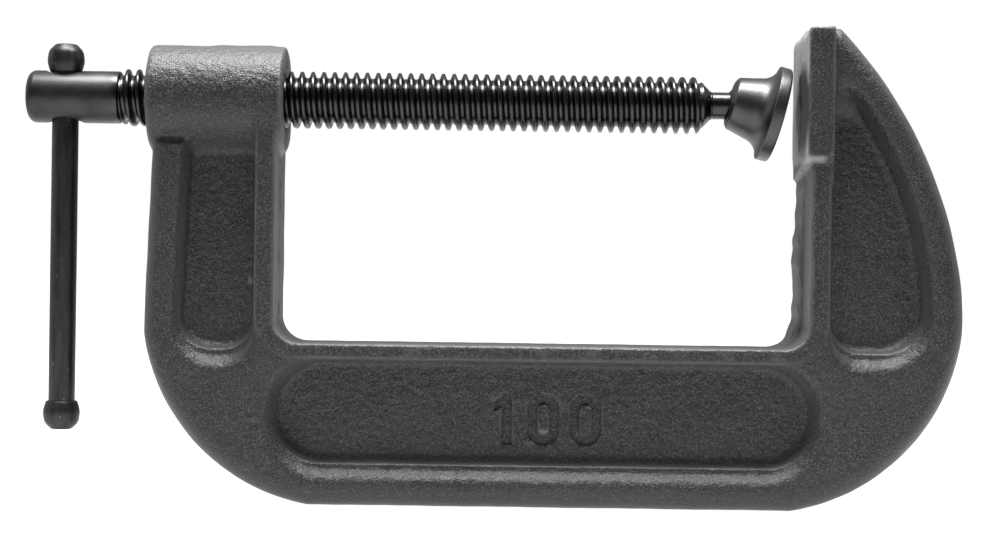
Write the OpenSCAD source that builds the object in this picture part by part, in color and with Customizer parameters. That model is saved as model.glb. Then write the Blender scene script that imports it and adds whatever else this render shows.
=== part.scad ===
// C clamp: a cast frame, a screw with a tommy bar through its head, and a swivel pad on a ball end.
// Millimetres, +Z up. The origin is the middle of the flat base under the spine.
// +X runs along the screw from its head to the anvil, and Y = 0 is the plane of symmetry.

/* [Frame] */
// Height of the screw's axis above the base
axis_z = 94; // [92:1:98]
// Throat depth, from the screw's axis down to the spine
throat = 57; // [55:1:59]
// Length of the flat base under the spine
base_len = 101.7; // [100:0.1:103]
// Opening from the boss leg to the anvil's face
opening = 121.8; // [120:0.2:124]
// Width of the boss leg, along the screw
leg_w = 30.8; // [30:0.2:31.6]
// Radius of the outer corner below the boss leg
heel_r = 43.3; // [42:0.1:44]
// Radius of the outer corner below the arm
toe_r = 45.5; // [45:0.1:46.4]
// Radius of the long curve up the arm's back
back_r = 88.5; // [87:0.1:90]
// Thickness of the casting across its outer flange
body_t = 20; // [18:0.5:21]
// Thickness of the casting across its inner flange
rib_t = 22; // [21:0.5:23.5]
// Height of the inner flange's front edge
rib_w = 4.6; // [4:0.1:5.2]
// Thickness of the web between the pockets
web_t = 8; // [6:0.5:10]
// Rounding of the outer edges
edge_r = 4.5; // [4:0.5:7]
// Height of the anvil's top above the base
top_z = 111.6; // [111:0.2:113]

/* [Anvil and boss] */
// Thickness of the anvil
anvil_t = 24; // [23.5:0.5:26]
// Depth of the anvil block behind its face
anvil_d = 5.5; // [5:0.1:5.9]
// Height of the anvil's flat face
anvil_h = 33.6; // [32:0.4:35]
// How far the leg below the anvil stands back from its face
relief = 1.4; // [0.8:0.2:1.8]
// Diameter of the boss
boss_d = 24.8; // [24:0.2:26]
// Length of the boss
boss_len = 31.3; // [31:0.1:34]
// How far the boss reaches past the leg into the opening
boss_out = 1.3; // [0.5:0.1:2]

/* [Screw] */
// Diameter over the thread
thread_d = 13.3; // [13:0.1:13.6]
// Depth of the thread
thread_depth = 1.5; // [1.2:0.1:1.6]
// Pitch of the thread
pitch = 2.54; // [2.5:0.01:2.6]
// Radial clearance of the screw in the boss
screw_gap = 0.1; // [0.05:0.01:0.1]
// Diameter of the plain head
head_d = 12.2; // [11.6:0.1:13]
// Length of the plain head
head_len = 20.8; // [20:0.1:23]
// Gap between the head and the boss as the clamp lies
head_gap = 8.1; // [6:0.1:9]
// Length of the thread
thread_len = 136.8; // [136:0.1:137.2]
// Length of the cone at the thread's end
nose_len = 1.55; // [1.3:0.05:1.8]

/* [Ball end and pad] */
// Diameter of the neck
neck_d = 6.3; // [6:0.1:6.5]
// Diameter of the ball
ball_d = 9.6; // [9.2:0.1:9.8]
// Distance from the nose of the screw to the ball's centre
ball_reach = 8.2; // [8:0.1:8.4]
// Radial clearance of the ball in its socket
socket_gap = 0.1; // [0.05:0.01:0.1]
// Droop of the pad below the screw's axis, in degrees
pad_droop = 14.5; // [10:0.5:15]
// Diameter of the pad's flange
pad_d = 22.3; // [21.5:0.1:22.5]
// Length of the pad along its own axis
pad_len = 12; // [11.8:0.1:13]
// Thickness of the flange's rim
rim_t = 2.8; // [2.6:0.1:3.9]
// Diameter of the pad's back
pad_back_d = 10.6; // [10.4:0.1:11]
// Depth of the ball's centre behind the pad's back
ball_depth = 3.4; // [3.2:0.1:3.6]

/* [Tommy bar] */
// Diameter of the rod
rod_d = 6.1; // [5.8:0.1:6.3]
// Length of the bar over its caps
bar_len = 90.5; // [86:0.5:96]
// Diameter of an end cap
cap_d = 8.4; // [8:0.1:9]
// Length of an end cap
cap_len = 6.8; // [6:0.1:7.5]
// Distance of the rod's axis from the screw's outer end
bar_in = 8.4; // [8:0.1:11]

/* [Hidden] */
$fn = 64;

// frame, seen from the side as X and Z
outer_x = -base_len / 2 - heel_r;   // outer face of the boss leg
leg_x = outer_x + leg_w;            // inner face of the boss leg
anvil_x = leg_x + opening;          // face of the anvil
spine_z = axis_z - throat;          // top of the spine
arm_x = anvil_x + relief;           // inner face of the arm below the anvil
corner_r = 6;                       // inner corners of the opening
rib_corner_r = 10;                  // outer corners of the inner flange
heel_c = [-base_len / 2, heel_r];
toe_c = [base_len / 2, toe_r];
back_c = [toe_c[0] + toe_r - back_r, toe_r];
tall = 2 * top_z;                   // longer than anything in the frame

// pockets, each with straight walls down to the web
leg_pocket_x = [outer_x + 10.4, leg_x - rib_w];
leg_pocket_z = [34.8, axis_z - 14];
arm_pocket_x = arm_x + rib_w + 0.2;
arm_pocket_z = [36, 97];
arm_wall_r = 84.9;
arm_wall_c = [0, 44];
spine_pocket_x = [leg_x - 0.2, anvil_x + 3];
spine_pocket_z = [8.4, 32.6];
pocket_r = 7;
spine_pocket_r = 11.5;

// screw, measured along its axis
boss_x = leg_x + boss_out - boss_len;
thread_x = boss_x - head_gap;       // where the thread starts behind the head
head_x = thread_x - head_len;
nose_x = thread_x + thread_len;
thread_r = thread_d / 2;
root_r = thread_r - thread_depth;
turns = floor(thread_len / pitch);
screw_end = nose_x + nose_len;
split = 0.1;                        // between the turning screw and the ball end that doesn't turn
ball_x = screw_end + ball_reach;
ball_r = ball_d / 2;
neck_r = neck_d / 2;
bar_x = head_x + bar_in;
bore_gap = 0.2;                     // radial clearance of the rod in the head
cap_seat = 0.1;                     // the cap hangs this far above the head's crown
sink_r = cap_d / 2 + 0.3;
sink_d = 1.2;
cap_z = axis_z + head_d / 2 + cap_seat - 0.3;
bar_top = cap_z + cap_len;

// A plate seen along Y: 2D in X and Z, centred on the plane of symmetry
module plate(t) {
  rotate([90, 0, 0]) linear_extrude(t, center = true) children();
}

// Half section of the casting's outer edge, rounded on both sides, from r_in out to r
module edge_section(r, r_in = 0) {
  flat = body_t / 2 - edge_r;
  translate([r_in, -body_t / 2]) square([r - edge_r - r_in, body_t]);
  translate([r_in, -flat]) square([r - r_in, 2 * flat]);
  for (side = [-1, 1]) translate([r - edge_r, side * flat]) circle(edge_r);
}

// A sector of a disc with that edge, swept about an axis along Y
module edge_sector(c, r, start, sweep, r_in = 0) {
  translate([c[0], 0, c[1]]) rotate([90, 0, 0]) rotate([0, 0, start])
    rotate_extrude(angle = sweep, $fn = 128) edge_section(r, r_in);
}

// Rectangle with its two lower corners round
module cradle(x0, x1, z0, z1, r) {
  translate([x0 + r, z0]) square([x1 - x0 - 2 * r, z1 - z0]);
  translate([x0, z0 + r]) square([x1 - x0, z1 - z0 - r]);
  for (x = [x0 + r, x1 - r]) translate([x, z0 + r]) circle(r);
}

// Solid outline of the casting before the opening is cut: heel, leg, spine, toe and arm
module casting_blank() {
  edge_sector(heel_c, heel_r, 180, 90);
  translate([heel_c[0], 0, heel_r]) linear_extrude(axis_z - heel_r)
    mirror([1, 0]) edge_section(heel_r);
  translate([heel_c[0], 0, toe_r]) rotate([0, 90, 0]) linear_extrude(base_len) edge_section(toe_r);
  edge_sector(toe_c, toe_r, -90, 90);
  intersection() {
    edge_sector(back_c, back_r, 0, 60, back_r - toe_r);
    translate([-tall, -tall, 0]) cube([2 * tall, 2 * tall, top_z]);
  }
}

// Window between the legs, from the spine up past the top
module opening_outline() {
  cradle(leg_x, arm_x, spine_z, tall, corner_r);
}

// Flange that frames the opening
module inner_flange() {
  plate(rib_t) difference() {
    cradle(leg_x - rib_w, arm_x + rib_w, spine_z - 3.4, top_z - 1, rib_corner_r);
    opening_outline();
    translate([-tall, axis_z]) square([tall, tall]);
  }
}

// Flat jaw at the top of the arm, chamfered down to the arm's inner face and inner flange
module anvil() {
  bottom = top_z - anvil_h;
  plate(anvil_t) intersection() {
    polygon([
      [anvil_x, bottom], [arm_x, bottom - 1.6], [anvil_x + anvil_d, bottom - 1.6],
      [anvil_x + anvil_d, top_z], [anvil_x + 2.6, top_z], [anvil_x + 0.8, top_z - 1.2],
      [anvil_x, top_z - 3.6]
    ]);
    translate([-tall, bottom - 1.6]) square([2 * tall, tall]);
  }
}

module pocket_outlines() {
  cradle(leg_pocket_x[0], leg_pocket_x[1], leg_pocket_z[0], leg_pocket_z[1], pocket_r);
  intersection() {
    cradle(arm_pocket_x, arm_wall_c[0] + arm_wall_r, arm_pocket_z[0], arm_pocket_z[1], pocket_r + 2);
    translate(arm_wall_c) circle(arm_wall_r, $fn = 128);
  }
  intersection() {
    cradle(spine_pocket_x[0], spine_pocket_x[1], spine_pocket_z[0], tall, spine_pocket_r);
    translate([0, spine_pocket_z[0] + spine_pocket_z[1]]) mirror([0, 1])
      cradle(spine_pocket_x[0], spine_pocket_x[1], spine_pocket_z[0], tall, spine_pocket_r);
  }
}

module pockets() {
  depth = (rib_t - web_t) / 2;
  for (side = [-1, 1])
    translate([0, side * (web_t + depth) / 2, 0]) plate(depth) pocket_outlines();
}

// One casting: I-section C with a boss for the screw and a flat anvil
module frame() {
  color("dimgray") difference() {
    union() {
      difference() {
        union() {
          difference() {
            casting_blank();
            plate(2 * rib_t) opening_outline();
          }
          inner_flange();
        }
        pockets();
      }
      anvil();
      translate([boss_x, 0, axis_z]) rotate([0, 90, 0]) rotate_extrude() boss_section();
    }
    translate([boss_x - 1, 0, axis_z]) rotate([0, 90, 0])
      cylinder(r = thread_r + screw_gap, h = boss_len + 2);
  }
}

// Half section of the boss, with its rims rounded
module boss_section() {
  rim = 1.4;
  square([boss_d / 2 - rim, boss_len]);
  translate([0, rim]) square([boss_d / 2, boss_len - 2 * rim]);
  for (z = [rim, boss_len - rim]) translate([boss_d / 2 - rim, z]) circle(rim);
}

// Half section of the thread: ring ridges of the real pitch and depth
module thread_section() {
  crest = 0.34 * pitch;
  flank = 0.25 * pitch;
  start = (thread_len - turns * pitch) / 2;
  square([root_r, thread_len]);
  for (i = [0:turns - 1]) {
    z = start + i * pitch + (pitch - crest) / 2;
    polygon([
      [root_r - 1, z - flank], [root_r, z - flank], [thread_r, z],
      [thread_r, z + crest], [root_r, z + crest + flank], [root_r - 1, z + crest + flank]
    ]);
  }
}

// Half section of the plain head, its outer end rounded
module head_section() {
  nose = 1.8;
  square([head_d / 2 - nose, head_len]);
  translate([0, nose]) square([head_d / 2, head_len - nose]);
  translate([head_d / 2 - nose, nose]) circle(nose);
}

// Threaded rod with a plain head, drilled across for the tommy bar
module screw() {
  color([0.16, 0.16, 0.17]) difference() {
    translate([head_x, 0, axis_z]) rotate([0, 90, 0]) {
      rotate_extrude() head_section();
      translate([0, 0, head_len]) rotate_extrude() thread_section();
      translate([0, 0, head_len + thread_len])
        cylinder(r1 = root_r, r2 = neck_r + 0.4, h = nose_len);
    }
    translate([bar_x, 0, axis_z - head_d]) cylinder(r = rod_d / 2 + bore_gap, h = 2 * head_d);
    for (side = [-1, 1])
      translate([bar_x, 0, axis_z]) mirror([0, 0, side < 0 ? 1 : 0])
        translate([0, 0, head_d / 2 - sink_d + 0.1])
          cylinder(r1 = rod_d / 2 + bore_gap, r2 = sink_r, h = sink_d);
  }
}

// Neck and ball at the screw's nose
module ball_end() {
  color([0.2, 0.2, 0.21]) {
    translate([screw_end + split, 0, axis_z]) rotate([0, 90, 0])
      cylinder(r = neck_r, h = ball_reach - split);
    translate([ball_x, 0, axis_z]) sphere(ball_r);
  }
}

// Half section of the pad: a cone-shaped cup that flares into a flat round flange
module pad_section() {
  rim_z = pad_len - rim_t;
  flare_r = 3.9;
  difference() {
    union() {
      polygon([
        [0, 0], [pad_back_d / 2 - 0.4, 0], [pad_back_d / 2, 0.35], [6.3, 1.4],
        [7.5, rim_z - 3.1], [pad_d / 2, rim_z - 3.1], [pad_d / 2, rim_z], [0, rim_z]
      ]);
      translate([0, rim_z]) square([pad_d / 2, rim_t - 0.5]);
      translate([0, rim_z]) square([pad_d / 2 - 0.5, rim_t]);
      translate([pad_d / 2 - 0.5, pad_len - 0.5]) circle(0.5);
    }
    translate([pad_d / 2 + 0.1, rim_z - flare_r]) circle(flare_r);
  }
}

// Swivel pad, crimped round the ball with room to tilt
module swivel_pad() {
  mouth = neck_r / cos(pad_droop) + 0.12;
  lean = tan(pad_droop);
  past = ball_depth + 0.5;
  color([0.3, 0.3, 0.31]) translate([ball_x, 0, axis_z]) rotate([0, 90 + pad_droop, 0]) difference() {
    translate([0, 0, -ball_depth]) rotate_extrude() pad_section();
    sphere(ball_r + socket_gap);
    translate([0, 0, -past]) cylinder(r1 = mouth + past * lean, r2 = mouth, h = past);
  }
}

// Tommy bar's rod, which slides through the head and carries a cap on each end
module bar_rod() {
  spigot = cap_len - 1.4;
  color([0.18, 0.18, 0.18]) translate([bar_x, 0, bar_top - bar_len + cap_len - spigot])
    cylinder(r = rod_d / 2, h = bar_len - 2 * cap_len + 2 * spigot);
}

// Half section of an end cap: a barrel with a blind hole in its lower end
module cap_section() {
  cap_r = cap_d / 2;
  difference() {
    polygon([
      [0, 0], [cap_r - 0.55, 0], [cap_r - 0.1, 0.9], [cap_r, cap_len * 0.42],
      [cap_r - 0.15, cap_len - 2], [cap_r - 0.6, cap_len - 0.7], [cap_r - 1.4, cap_len], [0, cap_len]
    ]);
    translate([-1, -1]) square([rod_d / 2 + 1, cap_len - 0.4]);
  }
}

module bar_cap_upper() {
  color([0.22, 0.22, 0.22]) translate([bar_x, 0, cap_z]) rotate_extrude() cap_section();
}

module bar_cap_lower() {
  color([0.22, 0.22, 0.22]) translate([bar_x, 0, bar_top - bar_len + cap_len]) mirror([0, 0, 1])
    rotate_extrude() cap_section();
}

frame();
screw();
ball_end();
swivel_pad();
bar_rod();
bar_cap_upper();
bar_cap_lower();
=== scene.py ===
import math

import bmesh
import bpy
import numpy as np
from mathutils import Matrix, Vector


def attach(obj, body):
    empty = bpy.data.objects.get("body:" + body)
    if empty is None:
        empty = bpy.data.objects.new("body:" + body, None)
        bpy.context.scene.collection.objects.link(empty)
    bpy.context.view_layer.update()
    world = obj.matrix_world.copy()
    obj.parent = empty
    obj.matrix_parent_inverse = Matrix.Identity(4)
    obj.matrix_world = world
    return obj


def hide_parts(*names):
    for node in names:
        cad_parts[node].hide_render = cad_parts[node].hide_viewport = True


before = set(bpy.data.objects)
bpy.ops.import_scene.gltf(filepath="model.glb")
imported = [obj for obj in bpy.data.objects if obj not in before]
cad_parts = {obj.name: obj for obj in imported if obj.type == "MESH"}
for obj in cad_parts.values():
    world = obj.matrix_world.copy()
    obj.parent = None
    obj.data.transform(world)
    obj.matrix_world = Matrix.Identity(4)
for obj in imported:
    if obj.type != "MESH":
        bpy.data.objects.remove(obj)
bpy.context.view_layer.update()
MM = 0.001


# ---- Frame casting -------------------------------------------------------------------------
# A C-shaped iron sand casting: a deep-webbed body with a raised flange round the throat, three
# sunk panels a side, a round boss for the screw and a square anvil. It is shot with black enamel
# that lets the sand grain through, with painted glints on the grain and a painted sheen aslant.

# half thicknesses: outer flange, floor of the panels, flange round the throat, anvil
BODY_HALF, WEB_HALF, FLANGE_HALF, ANVIL_HALF = 10.0, 4.0, 11.0, 12.1
EDGE_ROUND = 4.8
# the throat's three sides, and how wide and high the flange round it stands
LEG_X, ARM_X, SPINE_Z, THROAT_ROUND = -63.35, 59.6, 37.4, 6.0
FLANGE_WIDE, FLANGE_UNDER, FLANGE_ROUND, FLANGE_TOP = 4.6, 3.5, 10.0, 84.0
ANVIL_X, ANVIL_BACK, TOP_Z, ANVIL_FOOT = 58.2, 64.6, 111.75, 78.2
AXIS_Z, BOSS_FROM, BOSS_TO, BOSS_R, BORE_R = 94.0, -93.35, -62.05, 12.3, 6.75
# the outline: a side that leans in above the heel, and arcs as (centre x, centre z, radius)
SIDE_X, SIDE_LEAN, LEAN_FROM, FAR_X = -93.75, 0.038, 43.3, 95.85
HEEL, TOE, BACK = (-47.95, 45.63, 46.23), (48.85, 46.44, 47.0), (-8.04, 39.2, 104.05)
CROWN, CROWN_SPREAD, CROWN_Z, CROWN_X = 0.9, 90.0, 35.0, (-66.0, 63.0)
# the panels: outer wall, side along the throat's flange, and draft of the outer wall
LEG_PANEL_X, LEG_PANEL_LEAN, LEG_PANEL_IN, LEG_DRAFT = -86.6, 0.045, -68.1, 0.2
SPINE_PANEL_MID, SPINE_PANEL_HALF, SPINE_PANEL_TOP, SPINE_DRAFT = -1.1, 63.3, 33.7, 0.3
ARM_PANEL, ARM_PANEL_IN, ARM_PANEL_TOP, ARM_DRAFT = (-0.05, 44.2, 87.9), 64.6, 101.0, 0.3
SHELF, SHELF_DRAFT = 2.4, 0.12      # the ledge part way down a panel's wall
LEG_TOP, LEG_TOP_SLOPE = 82.3, 40.5  # where the leg slopes back under the boss, in degrees
# the skin that is drawn over the casting: its grid's pitch and box, and its most triangles
CASTING_CELL, MOST_TRIANGLES = 0.56, 185000
CASTING_LOW, CASTING_HIGH = (-97.2, -14.1, -2.1), (98.9, 14.1, 113.9)


def smooth_max(a, b, width):
    """The larger of two distances, with the crease between them rounded."""
    h = np.clip(0.5 + 0.5 * (a - b) / width, 0, 1)
    return b + (a - b) * h + width * h * (1 - h)


def smooth_min(a, b, width):
    return -smooth_max(-a, -b, width)


def rounded_pair(a, b, radius):
    """A solid bounded by two distances at right angles, its outer corner rounded."""
    a, b = a + radius, b + radius
    return np.minimum(np.maximum(a, b), 0) + np.hypot(np.maximum(a, 0), np.maximum(b, 0)) - radius


def disc(x, z, round_edge):
    centre_x, centre_z, radius = round_edge
    return np.hypot(x - centre_x, z - centre_z) - radius


def outline(x, z):
    """Distance from the casting's outer edge, seen from the front."""
    side = SIDE_X + SIDE_LEAN * np.maximum(z - LEAN_FROM, 0) - x
    edge = np.maximum(np.maximum(side, x - FAR_X), -z)
    for corner, way in ((HEEL, -1), (TOE, 1)):
        outside = (way * (x - corner[0]) > 0) & (z < corner[1])
        edge = np.where(outside, np.maximum(edge, disc(x, z, corner)), edge)
    return np.where(x > 0, smooth_max(edge, disc(x, z, BACK), 0.6), edge)


def yoke(x, z, left, right, bottom, radius):
    """Distance from an upright slot that is open at its top, with round lower corners."""
    u = np.abs(x - (left + right) / 2) - (right - left) / 2 + radius
    w = bottom + radius - z
    return np.hypot(np.maximum(u, 0), np.maximum(w, 0)) + np.minimum(np.maximum(u, w), 0) - radius


def corners(a, b, c, first, second):
    """Three sides in a row, with a corner radius between each two."""
    return rounded_pair(rounded_pair(a, b, first), c, second)


def panel(z, depth, wall, inner, feet, lip_draft, lip_round, shelf_round, top=None):
    """A sunk panel, at a depth below the body's face: a drafted lip, a ledge, and a second wall.
    Its feet are the heights of the lip's and of the second wall's lower side."""
    lip = corners(wall, feet[0] - z + lip_draft * depth, inner, *lip_round)
    below = corners(wall, feet[1] - z + SHELF_DRAFT * (depth - SHELF), inner, *shelf_round)
    if top is not None:
        lip, below = smooth_max(lip, top, 2.0), smooth_max(below, top, 2.0)
    upper = smooth_max(lip, depth - SHELF, 1.0)
    lower = smooth_max(below, depth - BODY_HALF + WEB_HALF, 2.0)
    return smooth_min(upper, lower, 0.3)


def panels(x, z, depth):
    leg_wall = LEG_PANEL_X + LEG_PANEL_LEAN * (z - 38) - x + LEG_DRAFT * depth
    leg = panel(z, depth, leg_wall, x - LEG_PANEL_IN, (32.4, 35.9), 0.75, (9.0, 7.5), (8.2, 7.5))
    ends = np.abs(x - SPINE_PANEL_MID) - SPINE_PANEL_HALF + SPINE_DRAFT * depth
    spine = panel(z, depth, ends, z - SPINE_PANEL_TOP, (6.7, 9.8), 0.7, (12.5, 12.0), (11.2, 11.5))
    arm_wall = disc(x, z, ARM_PANEL) + ARM_DRAFT * depth
    arm = panel(z, depth, arm_wall, ARM_PANEL_IN - x, (33.4, 36.6), 0.75, (11.0, 7.5), (10.0, 7.5),
                top=z - ARM_PANEL_TOP + 1.35 * depth)
    return leg, spine, arm


def anvil(x, y, z):
    """The square block at the arm's end: a skewed underside, a taper at its foot, a round nose."""
    block = np.maximum(np.maximum(ANVIL_X - x, x - ANVIL_BACK), z - TOP_Z)
    block = np.maximum(block, ANVIL_FOOT - z + ARM_X - x - 0.2 * y)
    taper = 1.3 * np.clip((82.4 - z) / 2.7, 0, 1)
    block = rounded_pair(block, np.abs(y) - ANVIL_HALF + taper, 0.9)
    bend = np.interp(y, (-12, -7), (1.4, 3.6))
    nose = np.hypot(np.minimum(x - ANVIL_X - bend, 0), np.maximum(z - TOP_Z + bend, 0)) - bend
    return smooth_max(block, nose, 0.3)


def slipped_arm(y, z):
    """The arm's inner face, stepped and ragged, because one half of the mould has slipped."""
    ragged = 1 + 0.22 * np.sin(z / 2.9 + np.sin(z / 1.7)) + 0.12 * np.sin(z / 0.9)
    slip = np.interp(z, (38, 44, 66, 76, 79), (1.5, 1.4, 0.9, 0.35, 0)) * ragged
    return ARM_X - slip * np.clip((y + 1) / 2.5, 0, 1)


def casting(p):
    """Signed distance, in mm, of the finished casting at points p."""
    x, y, z = p[:, 0], p[:, 1], p[:, 2]
    from_middle = np.abs(y)
    depth = BODY_HALF - from_middle
    left = x < 0

    # the body, crowned at the throat's corners, with its three panels
    crown = sum(np.exp(-((x - at) ** 2 + (z - CROWN_Z) ** 2) / CROWN_SPREAD) for at in CROWN_X)
    edge = outline(x, z)
    shape = rounded_pair(np.where(left, edge, np.maximum(edge, z - TOP_Z)),
                         -depth - CROWN * crown, EDGE_ROUND)
    for void in panels(x, z, depth):
        shape = smooth_max(shape, -void, 1.9)
    # the leg's thick parts slope back under the boss
    lean = math.radians(LEG_TOP_SLOPE)
    slope = math.cos(lean) * (z - LEG_TOP) - math.sin(lean) * depth
    shape = smooth_max(shape, np.where(left, slope, -99.0), 0.8)

    # the flange round the throat, the anvil, and the throat itself
    flange = yoke(x, z, LEG_X - FLANGE_WIDE, ARM_X + FLANGE_WIDE, SPINE_Z - FLANGE_UNDER,
                  FLANGE_ROUND)
    flange = np.maximum(flange, z - np.where(left, AXIS_Z, FLANGE_TOP))
    shape = smooth_min(shape, rounded_pair(flange, from_middle - FLANGE_HALF, 0.6), 0.7)
    shape = smooth_max(shape, -yoke(x, z, LEG_X, slipped_arm(y, z), SPINE_Z, THROAT_ROUND), 0.6)
    shape = smooth_min(shape, anvil(x, y, z), 0.7)

    # the boss, and the hole through it with its broken edges
    across = np.hypot(y, z - AXIS_Z)
    along = np.maximum(BOSS_FROM - x, x - BOSS_TO)
    shape = smooth_min(shape, rounded_pair(across - BOSS_R, along, 0.9), 2.0)
    bore = BORE_R + np.clip(0.8 + along, 0, 1.2) - across
    shape = np.maximum(shape, np.where(left, bore, -99.0))

    # the unevenness of the sand, and the flash that the mould's two halves left between them
    wave = (0.045 * np.sin(x / 4.3 + 1.1 * np.sin(z / 5.9)) * np.cos(z / 3.7 + y / 2.9)
            + 0.03 * np.sin(x / 1.9 + y / 1.7) * np.sin(z / 2.1 + x / 3.3))
    flash = 0.22 + 0.16 * np.sin(z / 1.3 + 2 * np.sin(x / 2.3)) * np.sin(z / 3.1 + x / 4.7)
    return shape + wave - flash * np.exp(-(y / 0.8) ** 2)


def skin(distance, low, high, cell):
    """Draws a quad mesh over the zero of a distance function, one vertex to a grid cell."""
    counts = [int(math.ceil((b - a) / cell)) + 1 for a, b in zip(low, high)]
    axes = [a + cell * np.arange(n) for a, n in zip(low, counts)]
    field = np.empty(counts, np.float32)
    for i, x in enumerate(axes[0]):
        y, z = np.meshgrid(axes[1], axes[2], indexing="ij")
        sheet = np.column_stack([np.full(y.size, x), y.ravel(), z.ravel()])
        field[i] = distance(sheet).reshape(y.shape)
    cells = np.array(counts) - 1
    total, hits = np.zeros((cells.prod(), 3)), np.zeros(cells.prod())
    rings = []
    for axis in range(3):
        b, c = (axis + 1) % 3, (axis + 2) % 3
        lo = field.take(range(counts[axis] - 1), axis)
        hi = field.take(range(1, counts[axis]), axis)
        at = np.argwhere((lo < 0) != (hi < 0))
        f0, f1 = lo[tuple(at.T)], hi[tuple(at.T)]
        point = at.astype(float)
        point[:, axis] += f0 / (f0 - f1)
        ring = []
        for db, dc in ((-1, -1), (0, -1), (0, 0), (-1, 0)):
            near = at.copy()
            near[:, b] += db
            near[:, c] += dc
            flat = np.ravel_multi_index(tuple(near.T), cells)
            ring.append(flat)
            hits += np.bincount(flat, minlength=hits.size)
            for k in range(3):
                total[:, k] += np.bincount(flat, point[:, k], hits.size)
        ring = np.column_stack(ring)
        ring[f0 >= 0] = ring[f0 >= 0][:, ::-1]
        rings.append(ring)
    used = hits > 0
    number = np.cumsum(used) - 1
    points = np.array(low) + cell * total[used] / hits[used][:, None]
    for _ in range(4):
        here = distance(points)
        slope = np.column_stack([(distance(points + 0.02 * e) - here) / 0.02 for e in np.eye(3)])
        step = (here / np.maximum((slope ** 2).sum(1), 0.2))[:, None] * slope
        size = np.linalg.norm(step, axis=1, keepdims=True)
        points -= step * np.minimum(1, 0.4 * cell / np.maximum(size, 1e-9))
    return points, number[np.vstack(rings)]


def mesh_from(name, points, faces):
    mesh = bpy.data.meshes.new(name)
    mesh.from_pydata((np.asarray(points) * MM).tolist(), [], [list(map(int, f)) for f in faces])
    mesh.validate()
    mesh.update()
    return mesh


def place(name, mesh, *finish):
    """Puts a mesh in the scene as a smooth-shaded piece."""
    piece = bpy.data.objects.new(name, mesh)
    bpy.context.scene.collection.objects.link(piece)
    mesh.shade_smooth()
    for material in finish:
        mesh.materials.append(material)
    return piece


def bake(piece):
    """Turns the piece's modifiers into plain mesh."""
    graph = bpy.context.evaluated_depsgraph_get()
    mesh = bpy.data.meshes.new_from_object(piece.evaluated_get(graph))
    piece.modifiers.clear()
    old, piece.data = piece.data, mesh
    bpy.data.meshes.remove(old)
    return piece


def linear(hex_colour):
    """An sRGB hex colour as linear RGBA."""
    parts = [int(hex_colour[i:i + 2], 16) / 255 for i in (1, 3, 5)]
    return tuple(c / 12.92 if c <= 0.04045 else ((c + 0.055) / 1.055) ** 2.4
                 for c in parts) + (1.0,)


def add(tree, kind, links=None, out=0, stops=(), **settings):
    """Adds a node and returns the output asked for. Its links give each input a value, the socket
    that feeds it, or a list of such sockets; stops are a colour ramp's places and colours."""
    node = tree.nodes.new(kind)
    for name, value in settings.items():
        setattr(node, name, value)
    for place_in, (at, colour) in enumerate(stops):
        node.color_ramp.elements[place_in].position = at
        node.color_ramp.elements[place_in].color = linear(colour)
    for socket, sources in (links or {}).items():
        for source in sources if isinstance(sources, list) else [sources]:
            if isinstance(source, bpy.types.NodeSocket):
                tree.links.new(source, node.inputs[socket])
            else:
                node.inputs[socket].default_value = source
    return node.outputs[out] if out is not None else node.outputs


def new_material(name):
    material = bpy.data.materials.new(name)
    material.use_nodes = True
    material.node_tree.nodes.clear()
    return material, material.node_tree


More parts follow.
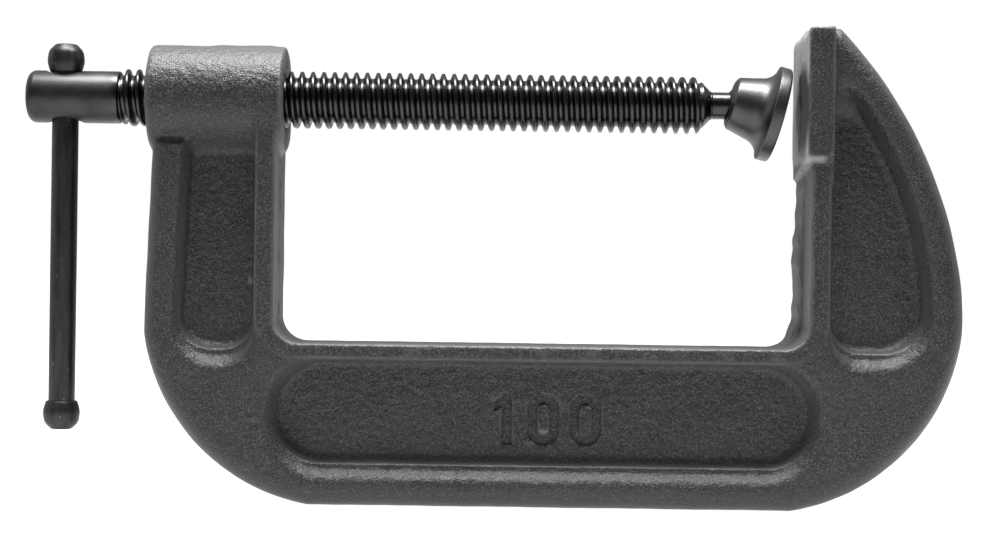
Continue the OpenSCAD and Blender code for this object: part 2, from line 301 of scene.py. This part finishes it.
def black_enamel_on_cast_iron():
    """Satin black enamel, thin over sand-cast iron: the sand grain shows as bumps and as fine pale
    spots painted as glints, with a painted sheen aslant; the anvil's face is ground bare, with
    painted shade from the pad."""
    material, tree = new_material("black_enamel_on_cast_iron")
    place_at = add(tree, "ShaderNodeTexCoord", out="Object")
    # moulding sand is about 0.2 mm, which is too fine to show, so the grit is drawn coarser
    grit = add(tree, "ShaderNodeTexNoise", {"Vector": place_at, "Scale": 1 / (0.32 * MM),
                                            "Detail": 1.5, "Roughness": 0.6}, "Fac")
    lumps = add(tree, "ShaderNodeTexNoise", {"Vector": place_at, "Scale": 1 / (1.5 * MM),
                                             "Detail": 2.0, "Roughness": 0.5}, "Fac")
    cloud = add(tree, "ShaderNodeTexNoise", {"Vector": place_at, "Scale": 1 / (18 * MM),
                                             "Detail": 3.0}, "Fac")

    # the enamel, the grain's painted glints that fade aslant, and a painted sheen, paler aslant
    aslant = add(tree, "ShaderNodeLayerWeight", {"Blend": 0.5}, "Facing")
    tone = add(tree, "ShaderNodeValToRGB", {"Fac": cloud},
               stops=((0.3, "#141414"), (0.7, "#1c1c1c")))
    # painted glints: pale spots on the sand grain, added to the colour
    grain_glints = add(tree, "ShaderNodeValToRGB", {"Fac": grit},
                 stops=((0.50, "#000000"), (0.72, "#4c4c4c")))
    # painted sheen: a paler tone added to the colour where the surface is seen aslant
    sheen = add(tree, "ShaderNodeValToRGB", {"Fac": aslant},
                stops=((0.2, "#000000"), (0.7, "#424242")))
    # the painted glints weaken where the surface is seen aslant
    glint = add(tree, "ShaderNodeMapRange", {"Value": aslant, "From Min": 0.15, "From Max": 0.6,
                                             "To Min": 1.0, "To Max": 0.1})
    speckled = add(tree, "ShaderNodeMix", {"Factor": glint, 6: tone, 7: grain_glints}, 2,
                   data_type="RGBA", blend_type="ADD")
    glints_and_painted_sheen = add(tree, "ShaderNodeMix", {"Factor": 1.0, 6: speckled, 7: sheen}, 2,
                 data_type="RGBA", blend_type="ADD")

    # edges rubbed by handling
    proud = add(tree, "ShaderNodeNewGeometry", out="Pointiness")
    rubbed = add(tree, "ShaderNodeValToRGB", {"Fac": proud},
                 stops=((0.515, "#000000"), (0.58, "#ffffff")))
    # real wear on the edges, laid over the painted glints and painted sheen
    wear_and_painted_light = add(tree, "ShaderNodeMix", {"Factor": rubbed, 6: glints_and_painted_sheen, 7: linear("#5c5c5c")}, 2,
               data_type="RGBA")

    # the anvil's face, ground bare, with a dark disc of painted shade from the pad in front of it
    spot = add(tree, "ShaderNodeSeparateXYZ", {0: place_at}, None)
    side = add(tree, "ShaderNodeMath", {0: spot[1]}, operation="ABSOLUTE")
    ground = 1.0
    for value, start, stop in ((spot[0], ANVIL_X + 5.0, ANVIL_X + 3.6), (spot[0], 50.0, 51.0),
                               (spot[2], 80.0, 81.0), (side, ANVIL_HALF - 0.1, ANVIL_HALF - 0.5)):
        inside = add(tree, "ShaderNodeMapRange", {"Value": value, "From Min": start * MM,
                                                  "From Max": stop * MM})
        ground = add(tree, "ShaderNodeMath", {0: ground, 1: inside}, operation="MULTIPLY")
    out = add(tree, "ShaderNodeVectorMath", {0: place_at, 1: (ANVIL_X * MM, -4 * MM, 93 * MM)},
              "Value", operation="DISTANCE")
    ragged_out = add(tree, "ShaderNodeMath", {0: lumps, 1: 2.5 * MM, 2: out},
                     operation="MULTIPLY_ADD")
    # painted shade: a dark ragged disc where the pad stands in front of the anvil's face
    painted_pad_shade = add(tree, "ShaderNodeMapRange", {"Value": ragged_out, "From Min": 13.0 * MM,
                                              "From Max": 9.5 * MM})
    # the ground face's bare colour, darkened by the painted shade from the pad
    bare = add(tree, "ShaderNodeMix", {"Factor": painted_pad_shade, 6: linear("#848484"),
                                       7: linear("#343434")}, 2, data_type="RGBA")
    colour = add(tree, "ShaderNodeMix", {"Factor": ground, 6: wear_and_painted_light, 7: bare}, 2,
                 data_type="RGBA")

    height = add(tree, "ShaderNodeMath", {0: grit, 1: 0.5, 2: lumps}, operation="MULTIPLY_ADD")
    bump = add(tree, "ShaderNodeBump", {"Height": height, "Strength": 0.75,
                                        "Distance": 0.4 * MM})
    gloss = add(tree, "ShaderNodeMapRange", {"Value": cloud, "To Min": 0.38, "To Max": 0.48})
    shader = add(tree, "ShaderNodeBsdfPrincipled", {"Base Color": colour, "Roughness": gloss,
                                                    "Normal": bump, "IOR": 1.5})
    add(tree, "ShaderNodeOutputMaterial", {"Surface": shader}, None)
    return material


def cut_with(piece, cutter_mesh):
    """Cuts a closed mesh out of a piece."""
    cutter = bpy.data.objects.new("cutter", cutter_mesh)
    bpy.context.scene.collection.objects.link(cutter)
    cut = piece.modifiers.new("cut", "BOOLEAN")
    cut.operation, cut.object, cut.solver = "DIFFERENCE", cutter, "EXACT"
    bake(piece)
    bpy.data.objects.remove(cutter)


enamel = black_enamel_on_cast_iron()
skin_points, skin_faces = skin(casting, CASTING_LOW, CASTING_HIGH, CASTING_CELL)
frame_casting = place("frame_casting", mesh_from("frame_casting", skin_points, skin_faces), enamel)
triangles = 2 * len(skin_faces)
if triangles > MOST_TRIANGLES:
    thin = frame_casting.modifiers.new("thin", "DECIMATE")
    thin.ratio = MOST_TRIANGLES / triangles
    bake(frame_casting)

# Capacity in millimetres, sunk in the spine's panel: plain upright block figures.
FIGURE_HEIGHT, FIGURE_WIDTH, STROKE, FIGURE_SINK = 11.8, 7.4, 2.3, 0.9
FIGURE_MID = (-0.6, 20.2)


def stadium(width, height, count=48):
    """Points round an upright slot with rounded ends."""
    r = width / 2 * 0.96
    out = []
    for k in range(count):
        a = 2 * math.pi * (k + 0.5) / count
        c, s = math.cos(a), math.sin(a)
        out.append((c * r + math.copysign(width / 2 - r, c),
                    s * r + math.copysign(height / 2 - r, s)))
    return out


def figure_cutter(name, centre_x, outer, inner=None):
    """A drafted prism of a figure's outline, with an eye where inner is given."""
    work = bmesh.new()
    floor_y, lip_y = -WEB_HALF + FIGURE_SINK, -WEB_HALF - 3.0
    rings = []
    for y, shrink in ((floor_y, 0.15), (lip_y, -0.45)):
        for loop, sign in ((outer, 1), (inner, -1)):
            if loop is None:
                continue
            ring = []
            for u, v in loop:
                size = max(math.hypot(u, v), 1e-6)
                k = 1 - sign * shrink / size
                ring.append(work.verts.new(((centre_x + u * k) * MM, y * MM,
                                            (FIGURE_MID[1] + v * k) * MM)))
            rings.append(ring)
    n = len(outer)
    for i in range(n):
        j = (i + 1) % n
        if inner is None:
            work.faces.new((rings[0][i], rings[0][j], rings[1][j], rings[1][i]))
        else:
            floor_out, floor_in, lip_out, lip_in = rings
            work.faces.new((floor_out[i], floor_out[j], lip_out[j], lip_out[i]))
            work.faces.new((floor_in[j], floor_in[i], lip_in[i], lip_in[j]))
            work.faces.new((floor_out[j], floor_out[i], floor_in[i], floor_in[j]))
            work.faces.new((lip_out[i], lip_out[j], lip_in[j], lip_in[i]))
    if inner is None:
        work.faces.new(rings[0])
        work.faces.new(rings[1])
    bmesh.ops.recalc_face_normals(work, faces=work.faces)
    mesh = bpy.data.meshes.new(name)
    work.to_mesh(mesh)
    work.free()
    return mesh


half_h = FIGURE_HEIGHT / 2
one = [(-STROKE / 2, -half_h), (STROKE / 2, -half_h), (STROKE / 2, half_h),
       (-STROKE / 2 + 0.5, half_h), (-STROKE / 2 - 1.9, half_h - 1.9),
       (-STROKE / 2 - 1.9, half_h - 4.1), (-STROKE / 2, half_h - 3.0)]
eye = stadium(FIGURE_WIDTH - 2 * STROKE, FIGURE_HEIGHT - 2 * STROKE)
nought = stadium(FIGURE_WIDTH, FIGURE_HEIGHT)
for name, offset, outer, inner in (("one", -8.9, one, None), ("nought_a", -0.4, nought, eye),
                                   ("nought_b", 9.4, nought, eye)):
    cut_with(frame_casting, figure_cutter(name, FIGURE_MID[0] + offset, outer, inner))

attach(frame_casting, "frame")
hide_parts("frame")


# ---- Screw ---------------------------------------------------------------------------------
# A forged steel screw, blacked with a hot oxide and oiled. The thread is rolled, right-hand,
# with a lead of one tenth of an inch; the head is plain round bar, cross-drilled for the handle.

SCREW_FROM, SCREW_TO = -101.0, 35.35
PITCH, ROOT_R, CREST_R = 2.54, 5.2, 6.65
HEAD_FROM, HEAD_TO, HEAD_R = -122.25, -100.9, 6.1
NOSE_FROM, NOSE_TO, NOSE_R = 33.6, 36.9, 3.55
BAR_X, HOLE_R, HOLE_FLARE, HOLE_PAST = -113.85, 3.25, 1.35, 8.0


def rounded_profile(corners, steps=7):
    """A profile of (place, radius, rounding) corners, with each corner turned into an arc."""
    out = []
    for i, (s, r, rounding) in enumerate(corners):
        if rounding <= 0 or i in (0, len(corners) - 1):
            out.append((s, r))
            continue
        here = Vector((s, r))
        back = Vector(corners[i - 1][:2]) - here
        ahead = Vector(corners[i + 1][:2]) - here
        half = back.angle(ahead) / 2
        reach = min(rounding / math.tan(half), back.length * 0.49, ahead.length * 0.49)
        radius = reach * math.tan(half)
        centre = here + (back.normalized() + ahead.normalized()).normalized() \
            * (radius / math.sin(half))
        a, b = here + back.normalized() * reach - centre, here + ahead.normalized() * reach - centre
        turn = a.angle_signed(b)
        for k in range(steps):
            out.append(tuple(centre + Matrix.Rotation(-turn * k / (steps - 1), 2) @ a))
    return out


def turned(profile, along="X", origin=(0, 0, 0), segments=72):
    """A closed solid of revolution: profile points are (place on the axis, radius), in mm."""
    points, faces, rings = [], [], []
    for s, r in profile:
        if r < 1e-4:
            rings.append([len(points)])
            points.append((s, 0, 0))
            continue
        rings.append(list(range(len(points), len(points) + segments)))
        for k in range(segments):
            a = 2 * math.pi * k / segments
            points.append((s, r * math.cos(a), r * math.sin(a)))
    for low, high in zip(rings, rings[1:]):
        for k in range(segments):
            j = (k + 1) % segments
            ring = [low[k % len(low)], low[j % len(low)], high[j % len(high)], high[k % len(high)]]
            ring = [v for n, v in enumerate(ring) if v not in ring[:n]]
            if len(ring) > 2:
                faces.append(ring)
    points = np.array(points, float)
    if along == "Z":
        points = points[:, [1, 2, 0]]
    return points + np.array(origin), faces


def joined(name, *solids):
    """One mesh out of several (points, faces), with its normals outward."""
    points, faces = [], []
    for some, loops in solids:
        faces += [[v + len(points) for v in loop] for loop in loops]
        points += list(some)
    mesh = mesh_from(name, points, faces)
    work = bmesh.new()
    work.from_mesh(mesh)
    bmesh.ops.recalc_face_normals(work, faces=work.faces)
    work.to_mesh(mesh)
    work.free()
    return mesh


def black_oxide_steel():
    """Hot black oxide on rolled steel, oiled: a dark, near-mirror film clouded by faint
    scale."""
    material, tree = new_material("black_oxide_steel")
    place_at = add(tree, "ShaderNodeTexCoord", out="Object")
    scale = add(tree, "ShaderNodeTexNoise", {"Vector": place_at, "Scale": 1 / (4 * MM),
                                             "Detail": 4.0, "Roughness": 0.6}, "Fac")
    fine = add(tree, "ShaderNodeTexNoise", {"Vector": place_at, "Scale": 1 / (0.9 * MM),
                                            "Detail": 2.0}, "Fac")
    colour = add(tree, "ShaderNodeValToRGB", {"Fac": scale},
                 stops=((0.3, "#363636"), (0.7, "#444444")))
    # the head is left as forged, so it is rougher than the rolled thread
    along = add(tree, "ShaderNodeSeparateXYZ", {0: place_at})
    forged = add(tree, "ShaderNodeMapRange", {"Value": along, "From Min": SCREW_FROM * MM,
                                              "From Max": (SCREW_FROM - 1.5) * MM,
                                              "To Min": 0.0, "To Max": 0.14})
    polish = add(tree, "ShaderNodeMapRange", {"Value": scale, "To Min": 0.18, "To Max": 0.32})
    gloss = add(tree, "ShaderNodeMath", {0: polish, 1: forged}, operation="ADD")
    bump = add(tree, "ShaderNodeBump", {"Height": fine, "Strength": 0.12, "Distance": 0.2 * MM})
    shader = add(tree, "ShaderNodeBsdfPrincipled", {"Base Color": colour, "Roughness": gloss,
                                                    "Normal": bump, "Metallic": 1.0})
    add(tree, "ShaderNodeOutputMaterial", {"Surface": shader}, None)
    return material


oxide = black_oxide_steel()


def thread_tree():
    """Geometry nodes for a rolled thread along X: a grid whose rows follow the helix."""
    tree = bpy.data.node_groups.new("rolled_thread", "GeometryNodeTree")
    face = tree.interface
    face.new_socket("Geometry", in_out="INPUT", socket_type="NodeSocketGeometry")
    sizes = {}
    for name, kind in (("Start", "Float"), ("End", "Float"), ("Pitch", "Float"),
                       ("Root radius", "Float"), ("Depth", "Float"), ("Turns", "Int"),
                       ("Rows a turn", "Int"), ("Segments", "Int"), ("Finish", "Material")):
        sizes[name] = face.new_socket(name, in_out="INPUT", socket_type="NodeSocket" + kind)
    face.new_socket("Geometry", in_out="OUTPUT", socket_type="NodeSocketGeometry")
    given = add(tree, "NodeGroupInput", out=None)
    maths = "ShaderNodeMath"

    # a flat grid: its rows are stations along the helix, its columns go once round the screw
    rows = add(tree, maths, {0: given["Turns"], 1: given["Rows a turn"], 2: 1.0},
               operation="MULTIPLY_ADD")
    columns = add(tree, maths, {0: given["Segments"], 1: 1.0}, operation="ADD")
    grid = add(tree, "GeometryNodeMeshGrid", {"Size X": 1.0, "Size Y": 1.0, "Vertices X": rows,
                                              "Vertices Y": columns}, "Mesh")
    at = add(tree, "ShaderNodeSeparateXYZ", {0: add(tree, "GeometryNodeInputPosition")}, None)
    row_share = add(tree, maths, {0: at[0], 1: 0.5}, operation="ADD")
    turns = add(tree, maths, {0: row_share, 1: given["Turns"]}, operation="MULTIPLY")
    share = add(tree, maths, {0: at[1], 1: 0.5}, operation="ADD")

    # how far along the screw a point lies, kept between its two ends
    wound = add(tree, maths, {0: turns, 1: share}, operation="SUBTRACT")
    raw = add(tree, maths, {0: wound, 1: given["Pitch"], 2: given["Start"]},
              operation="MULTIPLY_ADD")
    after_start = add(tree, maths, {0: raw, 1: given["Start"]}, operation="MAXIMUM")
    along = add(tree, maths, {0: after_start, 1: given["End"]}, operation="MINIMUM")

    # the ridge's height over the root: flat crest, straight flanks, faded at both ends
    part = add(tree, maths, {0: turns}, operation="FRACT")
    signed = add(tree, maths, {0: part, 1: 2.0, 2: -1.0}, operation="MULTIPLY_ADD")
    phase = add(tree, maths, {0: signed}, operation="ABSOLUTE")
    height = add(tree, "ShaderNodeMapRange", {"Value": phase, "From Min": 0.28,
                                              "From Max": 0.70, "To Min": 1.0, "To Max": 0.0})
    run_in = add(tree, maths, {0: given["Pitch"], 1: 0.5}, operation="MULTIPLY")
    for end in ("Start", "End"):
        gap = add(tree, maths, {0: along, 1: given[end]}, operation="SUBTRACT")
        distance = add(tree, maths, {0: gap}, operation="ABSOLUTE")
        fade = add(tree, "ShaderNodeMapRange", {"Value": distance, "From Min": 0.0,
                                                "From Max": run_in})
        height = add(tree, maths, {0: height, 1: fade}, operation="MULTIPLY")
    radius = add(tree, maths, {0: height, 1: given["Depth"], 2: given["Root radius"]},
                 operation="MULTIPLY_ADD")

    # roll the grid up
    angle = add(tree, maths, {0: share, 1: -2 * math.pi}, operation="MULTIPLY")
    cosine = add(tree, maths, {0: angle}, operation="COSINE")
    sine = add(tree, maths, {0: angle}, operation="SINE")
    spot = add(tree, "ShaderNodeCombineXYZ", {
        0: along, 1: add(tree, maths, {0: radius, 1: cosine}, operation="MULTIPLY"),
        2: add(tree, maths, {0: radius, 1: sine}, operation="MULTIPLY")})
    shell = [add(tree, "GeometryNodeSetPosition", {"Geometry": grid, "Position": spot})]
    for end in ("Start", "End"):
        round_disc = add(tree, "GeometryNodeMeshCircle", {"Vertices": given["Segments"],
                                                          "Radius": given["Root radius"]},
                         fill_type="NGON")
        seen = add(tree, "ShaderNodeSeparateXYZ",
                   {0: add(tree, "GeometryNodeInputPosition")}, None)
        flat = add(tree, "ShaderNodeCombineXYZ", {0: given[end], 1: seen[0], 2: seen[1]})
        cap = add(tree, "GeometryNodeSetPosition", {"Geometry": round_disc, "Position": flat})
        if end == "Start":
            cap = add(tree, "GeometryNodeFlipFaces", {"Mesh": cap})
        shell.append(cap)
    joined_shell = add(tree, "GeometryNodeJoinGeometry", {0: shell})
    sewn = add(tree, "GeometryNodeMergeByDistance", {"Geometry": joined_shell,
                                                     "Distance": 0.01 * MM})
    whole = add(tree, "GeometryNodeJoinGeometry", {0: [given["Geometry"], sewn]})
    smooth = add(tree, "GeometryNodeSetShadeSmooth", {"Geometry": whole})
    real = add(tree, "GeometryNodeRealizeInstances", {"Geometry": smooth})
    done = add(tree, "GeometryNodeSetMaterial", {"Geometry": real, "Material": given["Finish"]})
    add(tree, "NodeGroupOutput", {"Geometry": done}, None)
    return tree, {name: socket.identifier for name, socket in sizes.items()}


head = turned(rounded_profile([
    (HEAD_FROM, 0, 0), (HEAD_FROM, HEAD_R, 1.8), (HEAD_TO, HEAD_R, 0.4),
    (HEAD_TO + 0.3, ROOT_R, 0.3), (HEAD_TO + 1.0, ROOT_R, 0.2), (HEAD_TO + 1.0, 0, 0)]),
    origin=(0, 0, AXIS_Z), segments=96)
nose = turned(rounded_profile([
    (NOSE_FROM, 0, 0), (NOSE_FROM, ROOT_R - 0.1, 0), (SCREW_TO, ROOT_R - 0.1, 0.5),
    (NOSE_TO, NOSE_R, 0.3), (NOSE_TO, 0, 0)]), origin=(0, 0, AXIS_Z), segments=64)
screw = place("screw_body", joined("screw_body", head), oxide)

# the hole for the handle, with its mouths rounded over
mouth_r = HOLE_R + HOLE_FLARE
hole = turned(rounded_profile([
    (-HOLE_PAST, 0, 0), (-HOLE_PAST, mouth_r + 1.0, 0), (-HEAD_R, mouth_r, 1.2),
    (-HEAD_R + 1.5, HOLE_R, 1.5), (HEAD_R - 1.5, HOLE_R, 1.5), (HEAD_R, mouth_r, 1.2),
    (HOLE_PAST, mouth_r + 1.0, 0), (HOLE_PAST, 0, 0)]),
    along="Z", origin=(BAR_X, 0, AXIS_Z), segments=64)
cut_with(screw, joined("hole", hole))

# head and nose in one mesh, moved on to the X axis while the thread is wound round them
work = bmesh.new()
work.from_mesh(screw.data)
work.from_mesh(joined("nose", nose))
bmesh.ops.translate(work, verts=work.verts, vec=(0, 0, -AXIS_Z * MM))
work.to_mesh(screw.data)
work.free()
screw.data.set_sharp_from_angle(angle=math.radians(42))
tree, sockets = thread_tree()
thread = screw.modifiers.new("thread", "NODES")
thread.node_group = tree
for name, value in (("Start", SCREW_FROM * MM), ("End", SCREW_TO * MM), ("Pitch", PITCH * MM),
                    ("Root radius", ROOT_R * MM), ("Depth", (CREST_R - ROOT_R) * MM),
                    ("Turns", 55), ("Rows a turn", 12), ("Segments", 60), ("Finish", oxide)):
    thread[sockets[name]] = value
bake(screw)
screw.data.transform(Matrix.Translation((0, 0, AXIS_Z * MM)))

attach(screw, "screw")
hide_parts("screw")


# ---- Ball end ------------------------------------------------------------------------------
# The screw's tip: a turned neck that runs into the ball on which the pad swivels. It is the same
# blacked steel, polished by the pad.

BALL_X, BALL_R, NECK_FROM, NECK_R = 45.1, 4.8, 37.0, 3.15
neck_meets = BALL_X - math.sqrt(BALL_R ** 2 - NECK_R ** 2)
ball_arc = [(BALL_X - BALL_R * math.cos(a), BALL_R * math.sin(a))
            for a in np.linspace(math.asin(NECK_R / BALL_R), math.pi, 22)]
neck = rounded_profile([(NECK_FROM, 0, 0), (NECK_FROM, 3.5, 0.2), (NECK_FROM + 0.5, NECK_R, 0.5),
                        (neck_meets - 0.1, NECK_R, 0)])
ball = turned(neck + ball_arc[:-1] + [(BALL_X + BALL_R, 0)], origin=(0, 0, AXIS_Z), segments=64)
ball_end = place("ball_end_neck", joined("ball_end_neck", ball), oxide)
ball_end.data.set_sharp_from_angle(angle=math.radians(50))
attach(ball_end, "ball_end")
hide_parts("ball_end")


# ---- Swivel pad ----------------------------------------------------------------------------
# The pressing foot: a turned steel cup whose back is spun over the ball, so that it hangs
# loose and droops. Satin finish, blacked.

PAD_DROOP = math.radians(14.5)
BALL_IN_PAD = 3.4                            # from the pad's lip to the middle of the ball
FLARE_S, FLARE_C, FLARE_R = 4.9, 11.6, 4.3   # the cup's hollow flare, an arc


def satin_blacked_steel():
    """Turned steel with a thin black finish: satin, faintly clouded, with a fine grain."""
    material, tree = new_material("satin_blacked_steel")
    place_at = add(tree, "ShaderNodeTexCoord", out="Object")
    cloud = add(tree, "ShaderNodeTexNoise", {"Vector": place_at, "Scale": 1 / (6 * MM),
                                             "Detail": 3.0}, "Fac")
    fine = add(tree, "ShaderNodeTexNoise", {"Vector": place_at, "Scale": 1 / (0.6 * MM),
                                            "Detail": 2.0}, "Fac")
    colour = add(tree, "ShaderNodeValToRGB", {"Fac": cloud},
                 stops=((0.3, "#474747"), (0.7, "#545454")))
    gloss = add(tree, "ShaderNodeMapRange", {"Value": cloud, "To Min": 0.32, "To Max": 0.42})
    bump = add(tree, "ShaderNodeBump", {"Height": fine, "Strength": 0.12, "Distance": 0.2 * MM})
    shader = add(tree, "ShaderNodeBsdfPrincipled", {"Base Color": colour, "Roughness": gloss,
                                                    "Normal": bump, "Metallic": 1.0})
    add(tree, "ShaderNodeOutputMaterial", {"Surface": shader}, None)
    return material


satin = satin_blacked_steel()
flare = [(FLARE_S + FLARE_R * math.sin(a), FLARE_C - FLARE_R * math.cos(a))
         for a in np.linspace(math.radians(6), math.radians(82), 14)]
pad_profile = rounded_profile([
    (4.4, 0, 0), (4.4, 3.3, 0.3), (0.5, 3.9, 0.3), (-0.1, 4.9, 0.4), (0.6, 6.15, 0.9),
    (4.6, 7.1, 0)]) + flare + rounded_profile([
        (9.2, 11.1, 0), (9.35, 11.2, 0.1), (12.0, 11.15, 0.6), (12.0, 0, 0)])
points, faces = turned([(s - BALL_IN_PAD, r) for s, r in pad_profile], segments=96)
droop = np.array(Matrix.Rotation(PAD_DROOP, 3, "Y"))
points = points @ droop.T + np.array((BALL_X, 0, AXIS_Z))
pad = place("swivel_pad_cup", joined("swivel_pad_cup", (points, faces)), satin)
pad.data.set_sharp_from_angle(angle=math.radians(50))
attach(pad, "swivel_pad")
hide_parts("swivel_pad")


# ---- Tommy bar -----------------------------------------------------------------------------
# A sliding handle of round bar through the head, hanging from its upper cap. Blacked steel,
# dulled and scuffed by hands and by the head's hole.

BAR_FROM, BAR_TO, ROD_R, CAP_R, CAP_LENGTH = 16.2, 106.3, 3.05, 4.2, 6.6
CAP_END = 1.2                                # of each cap, beyond the rod inside it


def scuffed_black_bar():
    """Dry black oxide on drawn bar: dull, streaked along its length, with pale scuffs."""
    material, tree = new_material("scuffed_black_bar")
    place_at = add(tree, "ShaderNodeTexCoord", out="Object")
    drawn = add(tree, "ShaderNodeMapping", {"Vector": place_at, "Scale": (1.0, 1.0, 0.12)})
    streak = add(tree, "ShaderNodeTexNoise", {"Vector": drawn, "Scale": 1 / (1.4 * MM),
                                              "Detail": 3.0, "Roughness": 0.6}, "Fac")
    fine = add(tree, "ShaderNodeTexNoise", {"Vector": place_at, "Scale": 1 / (1.1 * MM),
                                            "Detail": 3.0, "Roughness": 0.7}, "Fac")
    base = add(tree, "ShaderNodeValToRGB", {"Fac": streak},
               stops=((0.3, "#303030"), (0.7, "#444444")))
    scuffs = add(tree, "ShaderNodeValToRGB", {"Fac": fine},
                 stops=((0.66, "#000000"), (0.74, "#ffffff")))
    colour = add(tree, "ShaderNodeMix", {"Factor": scuffs, 6: base, 7: linear("#7a7a7a")}, 2,
                 data_type="RGBA")
    gloss = add(tree, "ShaderNodeMapRange", {"Value": streak, "To Min": 0.36, "To Max": 0.5})
    bump = add(tree, "ShaderNodeBump", {"Height": fine, "Strength": 0.2, "Distance": 0.2 * MM})
    shader = add(tree, "ShaderNodeBsdfPrincipled", {"Base Color": colour, "Roughness": gloss,
                                                    "Normal": bump, "Metallic": 1.0})
    add(tree, "ShaderNodeOutputMaterial", {"Surface": shader}, None)
    return material


scuffed = scuffed_black_bar()
rod_from, rod_to = BAR_FROM + CAP_END, BAR_TO - CAP_END
rod = turned(rounded_profile([(rod_from, 0, 0), (rod_from, ROD_R, 0.3), (rod_to, ROD_R, 0.3),
                              (rod_to, 0, 0)]), along="Z", origin=(BAR_X, 0, 0), segments=64)
bar = place("tommy_bar_rod", joined("tommy_bar_rod", rod), scuffed)
bar.data.set_sharp_from_angle(angle=math.radians(50))
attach(bar, "tommy_bar")
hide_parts("bar_rod")

cap_shape = [(0, 0, 0), (0, 3.6, 0.3), (CAP_LENGTH * 0.36, CAP_R + 0.15, 5.0),
             (CAP_LENGTH * 0.76, 4.0, 2.6), (CAP_LENGTH, 2.4, 0.9), (CAP_LENGTH, 0, 0)]
for name, node, foot, way in (("tommy_bar_cap_upper", "bar_cap_upper", BAR_TO - CAP_LENGTH, 1),
                              ("tommy_bar_cap_lower", "bar_cap_lower", BAR_FROM + CAP_LENGTH, -1)):
    shape = [(foot + way * s, r) for s, r in rounded_profile(cap_shape)]
    cap = place(name, joined(name, turned(shape, along="Z", origin=(BAR_X, 0, 0), segments=64)),
                scuffed)
    cap.data.set_sharp_from_angle(angle=math.radians(50))
    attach(cap, "tommy_bar")
    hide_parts(node)


# ---- Studio --------------------------------------------------------------------------------
# A white sweep under one long overhead softbox, with dark flags in front and behind, which draw
# the black band along every round bar.

# places and sizes here are in metres, the lens in mm
PAPER_REACH, POOL_FROM, POOL_TO = 6.0, 0.15, 0.6
SOFTBOX_AT, SOFTBOX_SIZE, SOFTBOX_WATTS = (0.0, -0.08, 0.75), (0.6, 0.26), 17.0
CAMERA_AT, CAMERA_LENS, CAMERA_ROLL = (-0.01155, -0.457, 0.05566), 70.2, math.radians(0.8)

floor_mesh = bpy.data.meshes.new("floor")
floor_mesh.from_pydata([(-PAPER_REACH, -PAPER_REACH, 0), (PAPER_REACH, -PAPER_REACH, 0),
                        (PAPER_REACH, PAPER_REACH, 0), (-PAPER_REACH, PAPER_REACH, 0)],
                       [], [(0, 1, 2, 3)])
floor = bpy.data.objects.new("floor", floor_mesh)
bpy.context.scene.collection.objects.link(floor)

# the paper looks evenly white, but lights the clamp from a pool round it
paper, tree = new_material("white_paper_sweep")
away = add(tree, "ShaderNodeVectorMath", {0: add(tree, "ShaderNodeTexCoord", out="Object")},
           "Value", operation="LENGTH")
pool = add(tree, "ShaderNodeMapRange", {"Value": away, "From Min": POOL_FROM,
                                        "From Max": POOL_TO, "To Min": 0.9, "To Max": 0.25},
           interpolation_type="SMOOTHSTEP")
shown = add(tree, "ShaderNodeLightPath", out="Is Camera Ray")
strength = add(tree, "ShaderNodeMath", {0: pool, 1: shown}, operation="MAXIMUM")
shader = add(tree, "ShaderNodeBsdfPrincipled", {
    "Base Color": linear("#8c8c8c"), "Roughness": 0.9, "Specular IOR Level": 0.1,
    "Emission Color": linear("#ffffff"), "Emission Strength": strength})
add(tree, "ShaderNodeOutputMaterial", {"Surface": shader}, None)
floor_mesh.materials.append(paper)

# the room: darkest in front, dim behind and to the right, bright overhead
world = bpy.data.worlds.new("studio")
bpy.context.scene.world = world
world.use_nodes = True
tree = world.node_tree
tree.nodes.clear()
way = add(tree, "ShaderNodeSeparateXYZ", {0: add(tree, "ShaderNodeTexCoord", out="Generated")},
          None)
front = add(tree, "ShaderNodeMapRange", {"Value": way[1], "From Min": -0.2, "From Max": -0.55,
                                         "To Min": 1.0, "To Max": 0.1},
            interpolation_type="SMOOTHSTEP")
above = add(tree, "ShaderNodeMapRange", {"Value": way[2], "From Min": 0.55, "From Max": 0.95},
            interpolation_type="SMOOTHSTEP")
behind = add(tree, "ShaderNodeMapRange", {"Value": way[1], "From Min": 0.4, "From Max": 0.8,
                                          "To Min": 1.0, "To Max": 0.35})
right = add(tree, "ShaderNodeMapRange", {"Value": way[0], "From Min": 0.2, "From Max": 0.7,
                                         "To Min": 1.0, "To Max": 0.6})
along_y = add(tree, "ShaderNodeMath", {0: front, 1: behind}, operation="MULTIPLY")
around = add(tree, "ShaderNodeMath", {0: along_y, 1: right}, operation="MULTIPLY")
glow = add(tree, "ShaderNodeMath", {0: around, 1: above}, operation="MAXIMUM")
seen = add(tree, "ShaderNodeLightPath", out="Is Camera Ray")
lit = add(tree, "ShaderNodeBackground", {"Color": linear("#ffffff"), "Strength": glow})
plain = add(tree, "ShaderNodeBackground", {"Color": linear("#ffffff"), "Strength": 1.0})
both = add(tree, "ShaderNodeMixShader", {0: seen, 1: lit, 2: plain})
add(tree, "ShaderNodeOutputWorld", {"Surface": both}, None)

lamp = bpy.data.lights.new("overhead_softbox", "AREA")
lamp.shape, lamp.energy = "RECTANGLE", SOFTBOX_WATTS
lamp.size, lamp.size_y = SOFTBOX_SIZE
holder = bpy.data.objects.new("overhead_softbox", lamp)
holder.location = SOFTBOX_AT
bpy.context.scene.collection.objects.link(holder)

view = bpy.data.cameras.new("camera")
view.sensor_fit, view.sensor_width, view.lens = "HORIZONTAL", 36.0, CAMERA_LENS
view.clip_start, view.clip_end = 0.01, 50.0
camera = bpy.data.objects.new("camera", view)
bpy.context.scene.collection.objects.link(camera)
camera.matrix_world = (Matrix.Translation(CAMERA_AT) @ Matrix.Rotation(math.radians(90), 4, "X")
                       @ Matrix.Rotation(CAMERA_ROLL, 4, "Z"))
bpy.context.scene.camera = camera
bpy.context.scene.view_settings.view_transform = "Standard"
